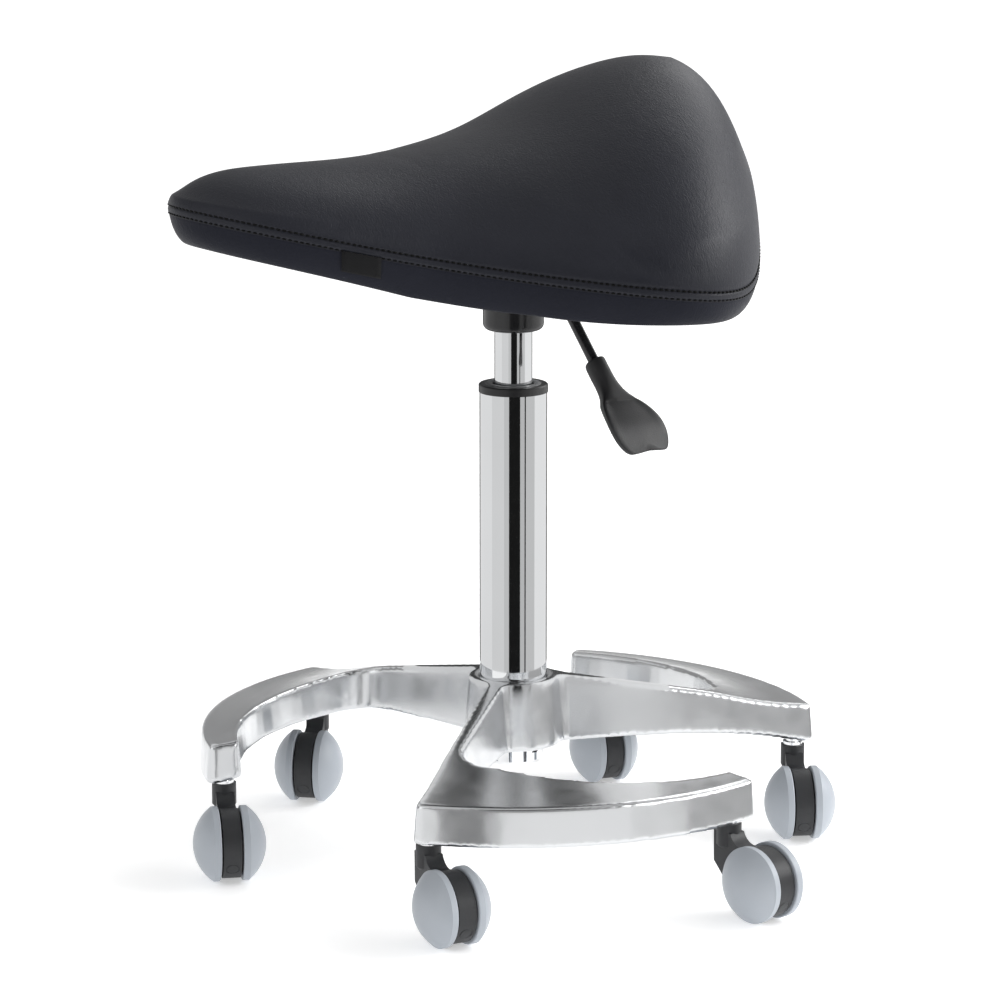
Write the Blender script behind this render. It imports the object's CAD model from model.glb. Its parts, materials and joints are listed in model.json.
import json
import math

import bmesh
import bpy
import numpy as np
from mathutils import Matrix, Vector


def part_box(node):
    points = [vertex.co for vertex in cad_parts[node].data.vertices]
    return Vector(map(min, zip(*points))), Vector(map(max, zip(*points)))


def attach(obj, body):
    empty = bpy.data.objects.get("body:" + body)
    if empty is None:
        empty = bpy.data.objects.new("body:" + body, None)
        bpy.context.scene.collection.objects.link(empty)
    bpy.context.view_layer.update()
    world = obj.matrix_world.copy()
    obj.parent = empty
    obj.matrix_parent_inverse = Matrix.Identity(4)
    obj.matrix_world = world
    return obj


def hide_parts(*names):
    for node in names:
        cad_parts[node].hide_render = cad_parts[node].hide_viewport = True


# Saddle stool on a six-castor hooked base.  Metres, the same frame as the CAD:
# +Z up, the seat's nose points to -Y and the height lever is on the +X side.
# Shapes are worked out in millimetres, and scaled by MM when a mesh is made.

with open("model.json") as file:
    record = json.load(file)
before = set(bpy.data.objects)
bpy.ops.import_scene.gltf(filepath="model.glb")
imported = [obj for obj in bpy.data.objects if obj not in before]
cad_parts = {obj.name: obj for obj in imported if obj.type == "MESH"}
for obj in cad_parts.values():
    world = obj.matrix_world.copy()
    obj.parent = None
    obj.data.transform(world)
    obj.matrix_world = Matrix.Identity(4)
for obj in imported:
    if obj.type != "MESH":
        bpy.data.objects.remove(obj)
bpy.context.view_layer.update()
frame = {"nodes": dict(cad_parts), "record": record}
nodes = frame["nodes"]

MM = 0.001
UP = Vector((0, 0, 1))

# seat: seam points (x, y, z) round one half, from the nose to the middle of the rear
SEAM = [(0, -269, 500.7), (64, -225, 491), (110, -95, 462), (185, 55, 442),
        (136, 127, 449), (0, 169, 515.6)]
RIDGE = [(-214, 525), (-160, 525), (-110, 526), (-50, 535), (0, 550), (40, 573), (74, 587.5),
         (98, 592), (122, 588)]
KEEL = [(-269, 476), (-214, 466), (-110, 468), (0, 481), (60, 492), (120, 495), (169, 491)]
CROWN_P = 2.4                # the padding's rise is (1 - rho^P)^(1/Q), as in the CAD
CROWN_Q = 1.7
UNDER_POWER = 2.2            # the underside's section, from the keel to the shell's edge
NOSE_Y = SEAM[0][1]
REAR_Y = SEAM[-1][1]
# sections (inward, height) of the strip folded over the seam, from the seam down
FOLD = [(1.5, 0.0), (0.35, -0.9), (0.0, -2.2), (0.0, -3.8), (0.3, -4.9), (1.3, -5.6), (0.7, -6.5)]
STRIP_IN = 0.6               # the side band starts this far in from the seam
STRIP_DEPTH = 6.5            # and this far below it
BAND_LEAN = math.radians(15)     # angle at which the band's rounded section starts
BAND_SWEEP = math.radians(75)    # angle that it turns through
BAND_STEPS = 12              # rows in a quarter turn of the band
BAND_TUCK = 12.0             # how far the side band turns under
HEM = 22.0                   # width of the turned-under edge
CLOSE_IN = 0.5               # the closed underside starts this far inside the hem
SHELL_RISE = 5.0             # and hides this far up in the shell
HEM_PROUD = 0.8              # thickness of the hem on the shell's underside
AROUND = 360                 # points round the seam
ACROSS = 40                  # rows from the seam to the ridge
SEAM_LENGTH = 1300           # length of the seam, to space its stitches
SWELL_CAP = 2.0 * MM         # how far the padding may swell under the cover
SWELL_FRAMES = 20            # frames of the cloth simulation
PAD_EASE, CLOTH_EASE = 120, 8    # rounds of evening out, before and after the simulation
TAG_HALF = 17                # half the tag's length along the band
TAG_TOP, TAG_FOOT = 5.4, 20.6    # its edges, below the seam
TAG_ROWS = 9

# base
CASTING_VOXEL = 1.5 * MM     # grain of the casting's polished skin
CASTING_POLISH = 12          # rounds of smoothing on it
SEAL_INNER, SEAL_OUTER = 15.6, 20.6
SEAL_DEEP = 1.5              # how far the seal goes down into the collar
SEAL_PROUD = 0.4             # how far it stands above the collar
SEAL_ROUND = 0.4             # the chamfer on its edges
SEAL_POINTS = 72

# lever: places are (out from the column's axis, up) in the lever's plane
LEVER_TURN = math.radians(12)
LEVER_BEND = (42, 438)
GRIP_END = (103, 366)
GRIP_LENGTH = 20
GRIP_R = 8.0
PADDLE_POINTS = 64
# the paddle's sections: distance along, half width, half thickness, slope, depth of its dish
PADDLE = [(0, 6.4, 6.4, 50, 0), (0.8, 7.6, 7.6, 50, 0), (3, 8.0, 8.0, 50, 0),
          (12, 8.0, 8.0, 50, 0), (20, 8.4, 7.6, 50, 0), (27, 9.8, 6.8, 50, 0),
          (32, 12.2, 5.8, 50, 0), (36.6, 15.6, 5.0, 48, 0), (37.0, 15.8, 5.0, 46, 1.6),
          (42, 18.6, 4.2, 37, 1.6), (50, 22.0, 3.4, 36, 1.3), (58, 24.2, 3.0, 41, 0.9),
          (65, 24.6, 3.0, 48, 0.6), (72, 23.4, 3.0, 54, 0.4), (78, 20.6, 2.8, 56, 0.3),
          (81.6, 17.6, 2.2, 56, 0.2), (83, 15.0, 0.8, 56, 0)]

# camera
CAMERA_PLACE = (2.651, -1.410, 0.900)
CAMERA_TURN = (78.06, 0.0, 62.18)
CAMERA_LENS = 149.36

# reflection cards, as (start, stop, tone) in degrees from the camera's side of the object
CHROME_TONES = [(-167, -141, 0.05), (-141, -70, 0.82), (-70, -28, 0.72), (-28, -13, 0.60),
                (-13, 21, 0.01), (21, 35, 0.55), (35, 39, 0.02), (39, 70, 0.60),
                (70, 141, 0.88), (141, 167, 0.05)]
CASTING_TONES = [(-150, -20, 1.05), (-20, -5, 0.25), (-5, 32, 1.0), (32, 48, 0.80),
                 (48, 150, 0.42)]
CARD_STEP = 4                # degrees that one face of a card spans

# floor and sky
FLOOR_HALF = 40
FLOOR_GLOW = (0.42, 0.72)    # light given off under the stool, and far from it
SKY_TONES = [(0.0, 0.95), (0.08, 0.55), (0.42, 0.50), (0.75, 0.95), (1.0, 1.0)]
SKY_STRENGTH = 0.6
BACKDROP = 0.97


# ---------------------------------------------------------------- curves
def ramp(value, start, span):
    """0 up to start, then rising evenly to 1 over span."""
    return min(max((value - start) / span, 0), 1)


def cubic(knots, values, periodic=False):
    """Interpolating cubic spline, returned as a function of the parameter."""
    t = np.array(knots, float)
    v = np.array(values, float)
    n = len(t)
    h = np.diff(t)
    system = np.zeros((n, n))
    right = np.zeros((n, v.shape[1]))
    for i in range(1, n - 1):
        system[i, i - 1] = h[i - 1]
        system[i, i] = 2 * (h[i - 1] + h[i])
        system[i, i + 1] = h[i]
        right[i] = 6 * ((v[i + 1] - v[i]) / h[i] - (v[i] - v[i - 1]) / h[i - 1])
    if periodic:
        system[0, 0] = 2 * (h[-1] + h[0])
        system[0, 1] = h[0]
        system[0, n - 2] = h[-1]
        right[0] = 6 * ((v[1] - v[0]) / h[0] - (v[0] - v[n - 2]) / h[-1])
        system[n - 1, n - 1] = 1
        system[n - 1, 0] = -1
    else:
        system[0, 0] = 1
        system[n - 1, n - 1] = 1
    bend = np.linalg.solve(system, right)

    def read(x):
        x = np.atleast_1d(x)
        i = np.clip(np.searchsorted(t, x) - 1, 0, n - 2)
        a = ((t[i + 1] - x) / h[i])[:, None]
        b = 1 - a
        step = (h[i] ** 2 / 6)[:, None]
        curved = ((a ** 3 - a) * bend[i] + (b ** 3 - b) * bend[i + 1]) * step
        return a * v[i] + b * v[i + 1] + curved

    return read


def height_line(points):
    """Height as a function of y, in millimetres."""
    read = cubic([y for y, _ in points], [[z] for _, z in points])
    low, high = points[0][0], points[-1][0]
    return lambda y: float(read(min(max(y, low), high))[0, 0])


ridge_height = height_line(RIDGE)
keel_height = height_line(KEEL)


def seam_ring(count):
    """Points evenly spaced round the seam, in millimetres, the first at the nose."""
    loop = SEAM + [(-x, y, z) for x, y, z in SEAM[-2:0:-1]] + SEAM[:1]
    steps = [math.hypot(b[0] - a[0], b[1] - a[1]) ** 0.75 for a, b in zip(loop, loop[1:])]
    knots = np.concatenate([[0], np.cumsum(steps)]) / sum(steps)
    read = cubic(knots, loop, periodic=True)
    fine = read(np.linspace(0, 1, 4001))
    run = np.concatenate([[0], np.cumsum(np.linalg.norm(np.diff(fine, axis=0), axis=1))])
    wanted = np.linspace(0, run[-1], count + 1)[:-1]
    return np.stack([np.interp(wanted, run, fine[:, k]) for k in range(3)], axis=1)


RING = seam_ring(AROUND)
HALF_RING = RING[:AROUND // 2 + 1]


def half_width(y):
    """Half width of the seam at one y, and the seam's height there."""
    xs, ys, zs = HALF_RING[np.argsort(HALF_RING[:, 1])].T
    return float(np.interp(y, ys, xs)), float(np.interp(y, ys, zs))


def board_band(y):
    """Depth of the shell's edge below the seam, deepest at the waist."""
    waist_y, spread = -40, 95
    return 21.5 + 8.5 * math.exp(-((y - waist_y) / spread) ** 2)


def band_height(y):
    """Depth of the side band below the seam: it is deeper towards the nose."""
    return board_band(y) + 6.5 * ramp(-y, 50, 80)


def band_inward(turn):
    """How far in from the seam the band's section is at one angle of its turn."""
    return STRIP_IN + (BAND_TUCK - STRIP_IN) * (1 - math.cos(turn))


def spoke_foot(y):
    """The y on the ridge where the spoke to a seam point starts."""
    share = (y - NOSE_Y) / (REAR_Y - NOSE_Y)
    return RIDGE[0][0] + (RIDGE[-1][0] - RIDGE[0][0]) * share


def under_height(x, y):
    """Height of the seat's underside."""
    half, seam_z = half_width(y)
    foot_x = max(half - min(BAND_TUCK, 0.4 * half), 1.0)
    edge = seam_z - board_band(y)
    middle = keel_height(y)
    return middle + (edge - middle) * min(abs(x) / foot_x, 1.0) ** UNDER_POWER


# ---------------------------------------------------------------- mesh helpers
def shade_smooth(obj):
    """Smooth shading on every face."""
    for poly in obj.data.polygons:
        poly.use_smooth = True


def add_mesh(name, verts, faces):
    """A new object from vertices in metres."""
    mesh = bpy.data.meshes.new(name)
    mesh.from_pydata([tuple(v) for v in verts], [], faces)
    mesh.validate()
    mesh.update()
    obj = bpy.data.objects.new(name, mesh)
    bpy.context.scene.collection.objects.link(obj)
    shade_smooth(obj)
    return obj


def tidy_normals(obj, merge=1e-6):
    """Joins double points and turns every face outwards."""
    bm = bmesh.new()
    bm.from_mesh(obj.data)
    bmesh.ops.remove_doubles(bm, verts=bm.verts, dist=merge)
    bmesh.ops.recalc_face_normals(bm, faces=bm.faces)
    bm.to_mesh(obj.data)
    bm.free()
    obj.data.update()


def grid_faces(rows, columns, first=0, closed=True):
    """Quads over rows of points; the rows close on themselves."""
    faces = []
    spans = columns if closed else columns - 1
    for r in range(rows - 1):
        for c in range(spans):
            a = first + r * columns + c
            b = first + r * columns + (c + 1) % columns
            faces.append((a, b, b + columns, a + columns))
    return faces


def apply_modifiers(obj):
    """Replaces the mesh by its evaluated self."""
    depsgraph = bpy.context.evaluated_depsgraph_get()
    mesh = bpy.data.meshes.new_from_object(obj.evaluated_get(depsgraph))
    old = obj.data
    obj.modifiers.clear()
    obj.data = mesh
    bpy.data.meshes.remove(old)


def subdivide(obj, levels):
    """Subdivides the surface and keeps the result."""
    smooth = obj.modifiers.new("subdivision", "SUBSURF")
    smooth.levels = levels
    smooth.render_levels = levels
    apply_modifiers(obj)
    shade_smooth(obj)


def paint(obj, material):
    """Gives every face of an object one material."""
    obj.data.materials.clear()
    obj.data.materials.append(material)


# ---------------------------------------------------------------- materials
TEXTURE_RANGE = (0.3, 0.7)   # the part of a texture's values that tones and roughness run over


def new_material(name, **values):
    """A principled material; values are the shader's own sockets."""
    material = bpy.data.materials.new(name)
    material.use_nodes = True
    shader = material.node_tree.nodes["Principled BSDF"]
    for key, value in values.items():
        shader.inputs[key.replace("_", " ")].default_value = value
    return material, material.node_tree, shader


def texture(tree, kind, scale, detail=4.0, stretch=(1, 1, 1)):
    """A procedural texture in the object's own coordinates."""
    where = tree.nodes.new("ShaderNodeTexCoord")
    mapping = tree.nodes.new("ShaderNodeMapping")
    mapping.inputs["Scale"].default_value = stretch
    node = tree.nodes.new(kind)
    for key, value in (("Scale", scale), ("Detail", detail)):
        if key in node.inputs:
            node.inputs[key].default_value = value
    tree.links.new(where.outputs["Object"], mapping.inputs["Vector"])
    tree.links.new(mapping.outputs["Vector"], node.inputs["Vector"])
    return node


def value_out(node):
    """A texture's plain value."""
    for name in ("Distance", "Fac", "Factor"):
        if name in node.outputs:
            return node.outputs[name]
    return node.outputs[0]


def map_range(tree, from_min, from_max, to_min, to_max):
    """A node that maps one span of values onto another."""
    node = tree.nodes.new("ShaderNodeMapRange")
    for key, value in (("From Min", from_min), ("From Max", from_max),
                       ("To Min", to_min), ("To Max", to_max)):
        node.inputs[key].default_value = value
    return node


def vary(tree, shader, socket, source, low, high):
    """A socket that runs from low to high with a texture."""
    span = map_range(tree, *TEXTURE_RANGE, low, high)
    tree.links.new(value_out(source), span.inputs["Value"])
    tree.links.new(span.outputs["Result"], shader.inputs[socket])


def tint(tree, shader, source, dark, light):
    """Base colour between two tones."""
    span = tree.nodes.new("ShaderNodeValToRGB")
    for element, place, tone in zip(span.color_ramp.elements, TEXTURE_RANGE, (dark, light)):
        element.position = place
        element.color = (*tone, 1)
    tree.links.new(value_out(source), span.inputs["Fac"])
    tree.links.new(span.outputs["Color"], shader.inputs["Base Color"])


def bump(tree, shader, source, depth, strength=1.0, under=None):
    """Surface relief from a texture, in metres; under is another bump below it."""
    node = tree.nodes.new("ShaderNodeBump")
    node.inputs["Distance"].default_value = depth
    node.inputs["Strength"].default_value = strength
    tree.links.new(value_out(source), node.inputs["Height"])
    if under:
        tree.links.new(under.outputs["Normal"], node.inputs["Normal"])
    tree.links.new(node.outputs["Normal"], shader.inputs["Normal"])
    return node


def metal(name, dark, light, rough, grain_scale, grain_depth, stretch=(1, 1, 1)):
    """Bare metal: rough is its (low, high) roughness."""
    material, tree, shader = new_material(name, Metallic=1.0)
    patches = texture(tree, "ShaderNodeTexNoise", 9, 3)
    tint(tree, shader, patches, dark, light)
    grain = texture(tree, "ShaderNodeTexNoise", grain_scale, 3, stretch)
    vary(tree, shader, "Roughness", grain, *rough)
    bump(tree, shader, grain, grain_depth, 0.5)
    return material


def plastic(name, dark, light, rough, grain_scale, grain_depth, specular=0.5):
    """Moulded plastic with a fine texture."""
    material, tree, shader = new_material(name, Specular_IOR_Level=specular)
    patches = texture(tree, "ShaderNodeTexNoise", 30, 3)
    tint(tree, shader, patches, dark, light)
    grain = texture(tree, "ShaderNodeTexNoise", grain_scale, 2)
    vary(tree, shader, "Roughness", grain, *rough)
    bump(tree, shader, grain, grain_depth, 0.6)
    return material


def leatherette(name, gloss):
    """Black coated fabric with a fine crossed wrinkle grain."""
    material, tree, shader = new_material(
        name, Specular_IOR_Level=gloss, Sheen_Weight=0.03, Sheen_Roughness=0.4)
    patches = texture(tree, "ShaderNodeTexNoise", 14, 4)
    tint(tree, shader, patches, (0.0085, 0.0095, 0.0155), (0.0115, 0.0125, 0.0195))
    cells = texture(tree, "ShaderNodeTexVoronoi", 620, stretch=(1.0, 0.8, 1.3))
    cells.feature = "DISTANCE_TO_EDGE"
    creases = texture(tree, "ShaderNodeTexNoise", 260, 6, (1.0, 1.5, 0.7))
    creases.inputs["Distortion"].default_value = 1.6
    folds = texture(tree, "ShaderNodeTexNoise", 34, 2)
    vary(tree, shader, "Roughness", patches, 0.43, 0.50)
    low = bump(tree, shader, folds, 0.0012, 0.35)
    middle = bump(tree, shader, creases, 0.0004, 0.75, low)
    bump(tree, shader, cells, 0.0003, 0.55, middle)
    return material


def thread():
    """Bonded black sewing thread."""
    material, tree, shader = new_material("thread", Specular_IOR_Level=0.12)
    twist = texture(tree, "ShaderNodeTexWave", 900)
    tint(tree, shader, twist, (0.002, 0.002, 0.002), (0.005, 0.005, 0.005))
    vary(tree, shader, "Roughness", twist, 0.45, 0.6)
    bump(tree, shader, twist, 0.00008, 0.6)
    return material


def woven():
    """Black woven label cloth."""
    material, tree, shader = new_material("tag", Specular_IOR_Level=0.15, Sheen_Weight=0.04)
    weave = texture(tree, "ShaderNodeTexChecker", 1500)
    tint(tree, shader, weave, (0.004, 0.004, 0.0045), (0.008, 0.008, 0.009))
    vary(tree, shader, "Roughness", weave, 0.6, 0.75)
    bump(tree, shader, weave, 0.0001, 0.5)
    return material


MATERIALS = {
    "aluminium": metal("aluminium", (0.65, 0.66, 0.675), (0.71, 0.72, 0.73), (0.19, 0.26),
                       60, 0.00003),
    "chrome": metal("chrome", (0.80, 0.81, 0.82), (0.84, 0.85, 0.86), (0.03, 0.07),
                    120, 0.000004),
    "steel": metal("steel", (0.50, 0.50, 0.51), (0.62, 0.62, 0.63), (0.22, 0.34), 300, 0.00002,
                   (1, 1, 8)),
    "black_steel": plastic("black_steel", (0.010, 0.010, 0.011), (0.015, 0.015, 0.016),
                           (0.14, 0.22), 420, 0.00003, 0.6),
    "black_plastic": plastic("black_plastic", (0.011, 0.011, 0.012), (0.017, 0.017, 0.018),
                             (0.34, 0.46), 900, 0.00012),
    "grey_plastic": plastic("grey_plastic", (0.16, 0.165, 0.17), (0.20, 0.205, 0.21),
                            (0.35, 0.45), 600, 0.00005),
    "rubber": plastic("rubber", (0.014, 0.014, 0.014), (0.022, 0.022, 0.022), (0.6, 0.75), 500,
                      0.0001),
    "castor_black": plastic("castor_black", (0.013, 0.014, 0.016), (0.019, 0.020, 0.023),
                            (0.42, 0.54), 1100, 0.0001),
    "castor_grey": plastic("castor_grey", (0.37, 0.40, 0.44), (0.40, 0.43, 0.47),
                           (0.36, 0.44), 500, 0.00004),
    "leatherette": leatherette("leatherette", 0.31),
    "leatherette_band": leatherette("leatherette_band", 0.10),
    "foam": plastic("foam", (0.6, 0.55, 0.35), (0.7, 0.65, 0.45), (0.8, 0.9), 800, 0.0003),
    "shell": plastic("shell", (0.012, 0.012, 0.012), (0.02, 0.02, 0.02), (0.5, 0.65), 400, 0.0002),
    "tag": woven(),
    "thread": thread(),
}


def paint_cad():
    """Every CAD node takes the finish of its record slot."""
    slots = {part["node"]: part["material_slot"] for part in frame["record"]["subparts"]
             if "material_slot" in part}
    for name, obj in nodes.items():
        paint(obj, MATERIALS[slots.get(name, "steel")])


# ---------------------------------------------------------------- seat cushion
def spoke(o, distance):
    """The seam point o moved towards its foot on the ridge, in plan."""
    foot = Vector((0, spoke_foot(o[1])))
    place = Vector((o[0], o[1]))
    return place + (foot - place).normalized() * distance


def top_rows():
    """Rows of the padded top, from the seam to the ridge."""
    rows = []
    for k in range(1, ACROSS + 1):
        rho = 1 - (k / ACROSS) ** 2
        row = []
        for ox, oy, oz in RING:
            foot = spoke_foot(oy)
            rise = (1 - rho ** CROWN_P) ** (1 / CROWN_Q)
            row.append((ox * rho, foot + (oy - foot) * rho,
                        oz + (ridge_height(foot) - oz) * rise))
        rows.append(row)
    return rows


def side_rows():
    """Rows of the seam's folded strip, the side band and the turned-under hem."""
    rows = []
    for inward, height in FOLD:
        rows.append([(*spoke(o, inward), o[2] + height) for o in RING])
    for step in range(3, BAND_STEPS + 1):
        turn = math.radians(90 * step / BAND_STEPS)
        row = []
        for o in RING:
            depth = band_height(o[1]) - STRIP_DEPTH
            drop = STRIP_DEPTH + depth * math.sin(turn - BAND_LEAN) / math.sin(BAND_SWEEP)
            row.append((*spoke(o, band_inward(turn)), o[2] - drop))
        rows.append(row)
    return rows


def under_rows():
    """Rows of the underside: the hem, then a closing face up inside the shell."""
    rows = []
    closing = BAND_TUCK + HEM + CLOSE_IN
    # each row: inward from the seam, its share of the way to the shell, how far up inside it
    steps = [(BAND_TUCK + 4, 0.35, 0), (BAND_TUCK + 10, 0.8, 0), (BAND_TUCK + HEM, 1.0, 0),
             (closing, 1.0, SHELL_RISE)]
    for inward, share, rise in steps:
        row = []
        for o in RING:
            x, y = spoke(o, inward)
            foot_z = o[2] - band_height(o[1])
            board = under_height(x, y)
            z = min(foot_z + (board - foot_z) * share, board - HEM_PROUD)
            row.append((x, y, z + rise))
        rows.append(row)
    for rho in (0.7, 0.5, 0.3, 0.12, 0.0):
        row = []
        for o in RING:
            x0, y0 = spoke(o, closing)
            foot = spoke_foot(o[1])
            x, y = x0 * rho, foot + (y0 - foot) * rho
            row.append((x, y, under_height(x, y) + SHELL_RISE))
        rows.append(row)
    return rows


def swell(obj):
    """Cloth simulation: the cover bellies out under the pressure of the foam."""
    start = np.array([v.co[:] for v in obj.data.vertices])
    modifier = obj.modifiers.new("cloth", "CLOTH")
    cloth = modifier.settings
    cloth.use_pressure = True
    cloth.uniform_pressure_force = 4.0
    cloth.effector_weights.gravity = 0.0
    cloth.vertex_group_mass = "held"
    scene = bpy.context.scene
    for number in range(1, SWELL_FRAMES + 1):
        scene.frame_set(number)
    apply_modifiers(obj)
    scene.frame_set(1)
    moved = np.array([v.co[:] for v in obj.data.vertices]) - start
    length = np.linalg.norm(moved, axis=1, keepdims=True)
    limit = SWELL_CAP * np.tanh(length / SWELL_CAP) / np.maximum(length, 1e-9)
    for vertex, place in zip(obj.data.vertices, start + moved * limit):
        vertex.co = place


def in_group(obj, name):
    """Indices of the vertices in a vertex group."""
    number = obj.vertex_groups[name].index
    return [v.index for v in obj.data.vertices if any(g.group == number for g in v.groups)]


def ease(obj, held, rounds):
    """Evens out the padding, except at the held vertices."""
    bm = bmesh.new()
    bm.from_mesh(obj.data)
    fixed = set(held)
    free = [v for v in bm.verts if v.index not in fixed]
    for _ in range(rounds):
        bmesh.ops.smooth_vert(bm, verts=free, factor=0.5, use_axis_x=True, use_axis_y=True,
                              use_axis_z=True)
    bm.to_mesh(obj.data)
    bm.free()


def seat_cushion():
    """The upholstered seat as one closed form."""
    rows = top_rows()[::-1] + side_rows() + under_rows()
    verts = [Vector(p) * MM for row in rows for p in row]
    obj = add_mesh("cushion", verts, grid_faces(len(rows), AROUND))
    for name in ("leatherette", "leatherette_band"):
        obj.data.materials.append(MATERIALS[name])
    band_start = (ACROSS + len(FOLD) - 1) * AROUND
    for poly in obj.data.polygons:
        poly.material_index = int(poly.index >= band_start)
    # the cloth is held from 3 rows above the seam, and not evened out from 9 rows above it
    for name, kept in (("held", ACROSS - 3), ("edge", ACROSS - 9)):
        group = obj.vertex_groups.new(name=name)
        group.add(list(range(kept * AROUND, len(verts))), 1.0, "REPLACE")
    tidy_normals(obj, 2e-5)
    ease(obj, in_group(obj, "edge"), PAD_EASE)
    swell(obj)
    ease(obj, in_group(obj, "edge"), CLOTH_EASE)
    obj.vertex_groups.clear()
    subdivide(obj, 1)
    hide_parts("seat_cover", "seat_foam")
    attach(obj, "seat")


def stitches(name, inward, rise, pitch, length, radius):
    """A row of sewn stitches along the seam, each a short thread with thinner ends."""
    verts = []
    faces = []
    sides = 6
    # the sections of one stitch: place along it, from -0.5 to 0.5, and thickness
    sections = [(-0.5, 0.25), (-0.38, 0.85), (0, 1.0), (0.38, 0.85), (0.5, 0.25)]
    ring = seam_ring(int(SEAM_LENGTH / pitch))
    count = len(ring)
    for k in range(count):
        here = Vector(ring[k])
        ahead = (Vector(ring[(k + 1) % count]) - Vector(ring[k - 1])).normalized()
        place = Vector((*spoke(ring[k], inward), here.z + rise))
        across = ahead.cross(UP).normalized()
        up = across.cross(ahead)
        base = len(verts)
        for along, fat in sections:
            for s in range(sides):
                turn = 2 * math.pi * s / sides
                offset = across * math.cos(turn) + up * math.sin(turn)
                verts.append((place + ahead * along * length + offset * fat * radius) * MM)
        last = base + (len(sections) - 1) * sides
        faces += grid_faces(len(sections), sides, base)
        faces += [tuple(range(end, end + sides)) for end in (base, last)]
    obj = add_mesh(name, verts, faces)
    tidy_normals(obj)
    paint(obj, MATERIALS["thread"])
    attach(obj, "seat")


def seat_tag():
    """A blank woven tag sewn under the seam near the nose, bent to the band."""
    low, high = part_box("cover_tag")
    middle_y = (low.y + high.y) / 2 / MM
    side = RING[:AROUND // 2]
    centre = int(np.argmin(abs(side[:, 1] - middle_y)))
    spacing = float(np.linalg.norm(side[centre + 1] - side[centre]))
    reach = int(TAG_HALF / spacing)
    front_proud, back_proud = 1.3, 0.7
    verts = []
    columns = range(centre - reach, centre + reach + 1)
    for proud in (front_proud, back_proud):
        for drop in np.linspace(TAG_TOP, TAG_FOOT, TAG_ROWS):
            for o in RING[columns.start:columns.stop]:
                depth = (drop - STRIP_DEPTH) / (band_height(o[1]) - STRIP_DEPTH)
                rise = min(max(depth * math.sin(BAND_SWEEP), -0.2), 1)
                inward = band_inward(math.asin(rise) + BAND_LEAN)
                verts.append(Vector((*spoke(o, inward - proud), o[2] - drop)) * MM)
    rows, wide = TAG_ROWS, len(columns)
    shift = rows * wide
    front = grid_faces(rows, wide, 0, closed=False)
    back = [f[::-1] for f in grid_faces(rows, wide, shift, closed=False)]
    # the corners and sides of the front face, once round
    rim = list(range(wide)) + [r * wide + wide - 1 for r in range(1, rows)]
    rim += [(rows - 1) * wide + c for c in range(wide - 2, -1, -1)]
    rim += [r * wide for r in range(rows - 2, 0, -1)]
    edge = [(a, b, b + shift, a + shift) for a, b in zip(rim, rim[1:] + rim[:1])]
    obj = add_mesh("cover_tag_cloth", verts, front + back + edge)
    tidy_normals(obj)
    paint(obj, MATERIALS["tag"])
    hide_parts("cover_tag")
    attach(obj, "seat")


# ---------------------------------------------------------------- rigid pieces
def polished_casting():
    """The CAD casting under a skin with a die casting's soft edges."""
    obj = bpy.data.objects.new("casting", nodes["base_casting"].data.copy())
    bpy.context.scene.collection.objects.link(obj)
    tidy_normals(obj, 1e-5)
    skin = obj.modifiers.new("skin", "REMESH")
    skin.mode = "VOXEL"
    skin.voxel_size = CASTING_VOXEL
    skin.use_smooth_shade = True
    polish = obj.modifiers.new("polish", "SMOOTH")
    polish.factor = 0.5
    polish.iterations = CASTING_POLISH
    apply_modifiers(obj)
    shade_smooth(obj)
    paint(obj, MATERIALS["aluminium"])
    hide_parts("base_casting")
    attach(obj, "base")


def seal_ring():
    """Grey dust seal that lies in the collar, round the pressure tube."""
    _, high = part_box("column_collar")
    collar_top = high.z / MM
    foot, shoulder, top = collar_top - SEAL_DEEP, collar_top + 0.1, collar_top + SEAL_PROUD
    profile = [(SEAL_INNER, foot), (SEAL_INNER, shoulder), (SEAL_INNER + SEAL_ROUND, top),
               (SEAL_OUTER - SEAL_ROUND, top), (SEAL_OUTER, shoulder), (SEAL_OUTER, foot)]
    verts = []
    for radius, z in profile:
        for k in range(SEAL_POINTS):
            a = 2 * math.pi * k / SEAL_POINTS
            verts.append(Vector((radius * math.cos(a), radius * math.sin(a), z)) * MM)
    faces = grid_faces(len(profile), SEAL_POINTS)
    last = (len(profile) - 1) * SEAL_POINTS
    for k in range(SEAL_POINTS):
        ahead = (k + 1) % SEAL_POINTS
        faces.append((k + last, ahead + last, ahead, k))
    obj = add_mesh("seal_ring", verts, faces)
    tidy_normals(obj)
    paint(obj, MATERIALS["grey_plastic"])
    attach(obj, "base")


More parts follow.
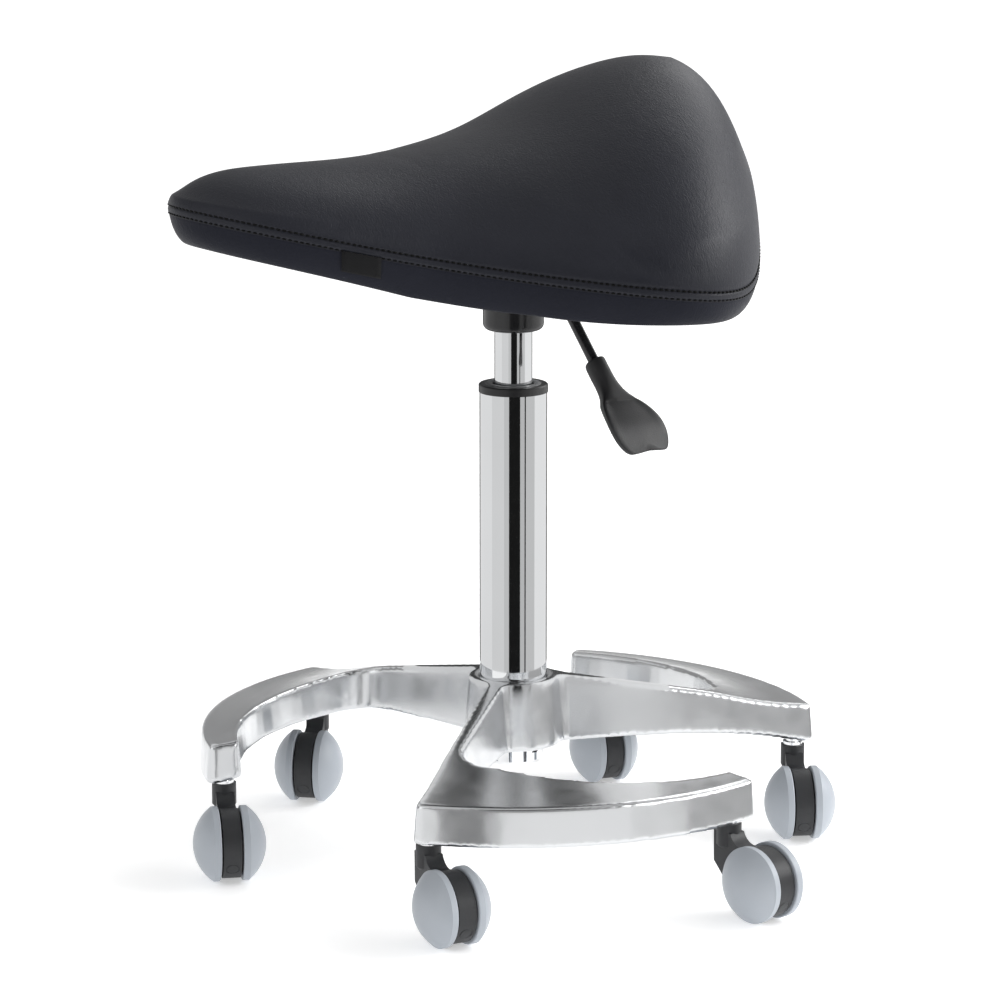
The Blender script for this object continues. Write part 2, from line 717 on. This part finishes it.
# ---------------------------------------------------------------- lever paddle
def paddle():
    """Grip sleeve that runs out through a web into a fishtail paddle."""
    out = Vector((math.cos(LEVER_TURN), math.sin(LEVER_TURN), 0))
    side = Vector((-math.sin(LEVER_TURN), math.cos(LEVER_TURN), 0))
    bend = out * LEVER_BEND[0] + UP * LEVER_BEND[1]
    end = out * GRIP_END[0] + UP * GRIP_END[1]
    place = end - (end - bend).normalized() * GRIP_LENGTH
    verts = []
    reached = 0.0
    for distance, wide, thick, slope, dish in PADDLE:
        fall = math.radians(slope)
        heading = out * math.cos(fall) - UP * math.sin(fall)
        place = place + heading * (distance - reached)
        reached = distance
        normal = out * math.sin(fall) + UP * math.cos(fall)
        flat = ramp(distance, 20, 20)        # from the round grip to a flat section
        tail = ramp(distance, 55, 28)        # the notch grows towards the tail
        lift = GRIP_R - thick                # keeps the top face level with the grip's
        for s in range(PADDLE_POINTS):
            a = 2 * math.pi * s / PADDLE_POINTS
            x = math.copysign(abs(math.cos(a)) ** (1 - 0.35 * flat), math.cos(a)) * wide
            z = math.copysign(abs(math.sin(a)) ** (1 - 0.6 * flat), math.sin(a)) * thick
            notch = 6.5 * math.exp(-(x / 7.5) ** 2) * tail
            hollow = dish * math.exp(-(x / (wide * 0.86)) ** 8) if z > 0 else 0
            verts.append(place + side * x + normal * (z + lift - hollow) - heading * notch)
    faces = grid_faces(len(PADDLE), PADDLE_POINTS)
    last = (len(PADDLE) - 1) * PADDLE_POINTS
    faces += [tuple(range(start, start + PADDLE_POINTS)) for start in (0, last)]
    obj = add_mesh("paddle", [v * MM for v in verts], faces)
    tidy_normals(obj)
    subdivide(obj, 2)
    paint(obj, MATERIALS["black_plastic"])
    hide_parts("lever_paddle")
    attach(obj, "lever")


# ---------------------------------------------------------------- stage
def emitter(name, place, target, size, power):
    """A soft rectangular light that faces its target."""
    data = bpy.data.lights.new(name, "AREA")
    data.shape = "RECTANGLE"
    data.size, data.size_y = size
    data.energy = power
    obj = bpy.data.objects.new(name, data)
    bpy.context.scene.collection.objects.link(obj)
    obj.location = place
    aim = Vector(target) - Vector(place)
    obj.rotation_euler = aim.to_track_quat("-Z", "Y").to_euler()


def mixed(tree, choice, first, second, output):
    """Sends first to a tree's output where choice is 0, and second where it is 1."""
    mix = tree.nodes.new("ShaderNodeMixShader")
    tree.links.new(choice, mix.inputs[0])
    tree.links.new(first.outputs[0], mix.inputs[1])
    tree.links.new(second.outputs[0], mix.inputs[2])
    tree.links.new(mix.outputs[0], tree.nodes[output].inputs["Surface"])


def reflected(name, verts, faces, tone):
    """A card of one tone that only shows in reflections, and only from its front."""
    obj = add_mesh(name, verts, faces)
    material, tree, shader = new_material(name, Roughness=1.0, Specular_IOR_Level=0.0)
    shader.inputs["Base Color"].default_value = (0, 0, 0, 1)
    shader.inputs["Emission Color"].default_value = (1, 1, 1, 1)
    shader.inputs["Emission Strength"].default_value = tone
    sides = tree.nodes.new("ShaderNodeNewGeometry")
    clear = tree.nodes.new("ShaderNodeBsdfTransparent")
    mixed(tree, sides.outputs["Backfacing"], shader, clear, "Material Output")
    paint(obj, material)
    obj.visible_camera = False
    obj.visible_diffuse = False
    obj.visible_shadow = False


def card_ring(name, radius, low, high, tones):
    """Curved cards round the object, from height low to high."""
    side = math.degrees(math.atan2(CAMERA_PLACE[1], CAMERA_PLACE[0]))
    for number, (start, stop, tone) in enumerate(tones):
        steps = max(2, int((stop - start) / CARD_STEP))
        verts = []
        for k in range(steps + 1):
            a = math.radians(side + start + (stop - start) * k / steps)
            for z in (low, high):
                verts.append((radius * math.cos(a), radius * math.sin(a), z))
        faces = [(2 * k + 1, 2 * k + 3, 2 * k + 2, 2 * k) for k in range(steps)]
        reflected(f"{name}_{number}", verts, faces, tone)


def white_floor():
    """Pale floor that glows a little, and more far from the stool, so that it fades out."""
    corners = [(-1, -1), (1, -1), (1, 1), (-1, 1)]
    floor = add_mesh("floor", [(x * FLOOR_HALF, y * FLOOR_HALF, 0) for x, y in corners],
                     [(0, 1, 2, 3)])
    near, distant = FLOOR_GLOW
    material, tree, shader = new_material("floor", Roughness=0.9, Specular_IOR_Level=0.1)
    shader.inputs["Emission Color"].default_value = (1, 1, 1, 1)
    grain = texture(tree, "ShaderNodeTexNoise", 3, 3)
    tint(tree, shader, grain, (0.93, 0.93, 0.93), (0.95, 0.95, 0.95))
    far = texture(tree, "ShaderNodeTexGradient", 1, stretch=(0.25, 0.25, 0.25))
    far.gradient_type = "SPHERICAL"
    glow = map_range(tree, 0.0, 0.75, distant, near)
    tree.links.new(far.outputs["Fac"], glow.inputs["Value"])
    tree.links.new(glow.outputs["Result"], shader.inputs["Emission Strength"])
    paint(floor, material)


def studio_sky():
    """Soft sky in tones from below to above, with an even white behind the object."""
    world = bpy.data.worlds.new("studio")
    bpy.context.scene.world = world
    world.use_nodes = True
    tree = world.node_tree
    where = tree.nodes.new("ShaderNodeTexCoord")
    parts = tree.nodes.new("ShaderNodeSeparateXYZ")
    sky = tree.nodes.new("ShaderNodeValToRGB")
    glow = tree.nodes["Background"]
    tree.links.new(where.outputs["Generated"], parts.inputs["Vector"])
    tree.links.new(parts.outputs["Z"], sky.inputs["Fac"])
    tree.links.new(sky.outputs["Color"], glow.inputs["Color"])
    while len(sky.color_ramp.elements) < len(SKY_TONES):
        sky.color_ramp.elements.new(0.5)
    for element, (place, tone) in zip(sky.color_ramp.elements, SKY_TONES):
        element.position = place
        element.color = (tone, tone, tone, 1)
    glow.inputs["Strength"].default_value = SKY_STRENGTH
    backdrop = tree.nodes.new("ShaderNodeBackground")
    backdrop.inputs["Color"].default_value = (BACKDROP, BACKDROP, BACKDROP, 1)
    ray = tree.nodes.new("ShaderNodeLightPath")
    mixed(tree, ray.outputs["Is Camera Ray"], glow, backdrop, "World Output")


def lights():
    """Reflection cards for the metal, and the soft lights."""
    card_ring("column_card", 0.12, 0.115, 0.40, CHROME_TONES)
    card_ring("tube_card", 0.46, 0.28, 0.56, CHROME_TONES[1:-1])
    card_ring("casting_card", 0.46, 0.0, 0.12, CASTING_TONES)
    emitter("rear_key", (-1.0, 1.7, 1.9), (0, 0, 0.5), (1.4, 1.4), 15)
    emitter("left_fill", (0.6, -2.6, 1.1), (0, 0, 0.4), (1.6, 2.2), 12)
    emitter("right_key", (0.8, 2.3, 1.35), (0, 0, 0.45), (1.8, 1.6), 56)
    emitter("right_fill", (2.4, 1.5, 0.9), (0, 0, 0.5), (1.8, 1.4), 24)


def photo_camera():
    """The camera at the photo's viewing angle."""
    data = bpy.data.cameras.new("camera")
    data.lens = CAMERA_LENS
    data.sensor_width = 36.0
    camera = bpy.data.objects.new("camera", data)
    camera.location = CAMERA_PLACE
    camera.rotation_euler = [math.radians(a) for a in CAMERA_TURN]
    bpy.context.scene.collection.objects.link(camera)
    bpy.context.scene.camera = camera
    bpy.context.scene.view_settings.view_transform = "Standard"


# ---------------------------------------------------------------- build
paint_cad()
seat_cushion()
stitches("stitches_top", inward=0.5, rise=0.3, pitch=4.2, length=3.0, radius=0.75)
stitches("stitches_fold", inward=0.6, rise=-5.6, pitch=4.2, length=2.8, radius=0.65)
seat_tag()
paddle()
polished_casting()
seal_ring()
white_floor()
studio_sky()
lights()
photo_camera()
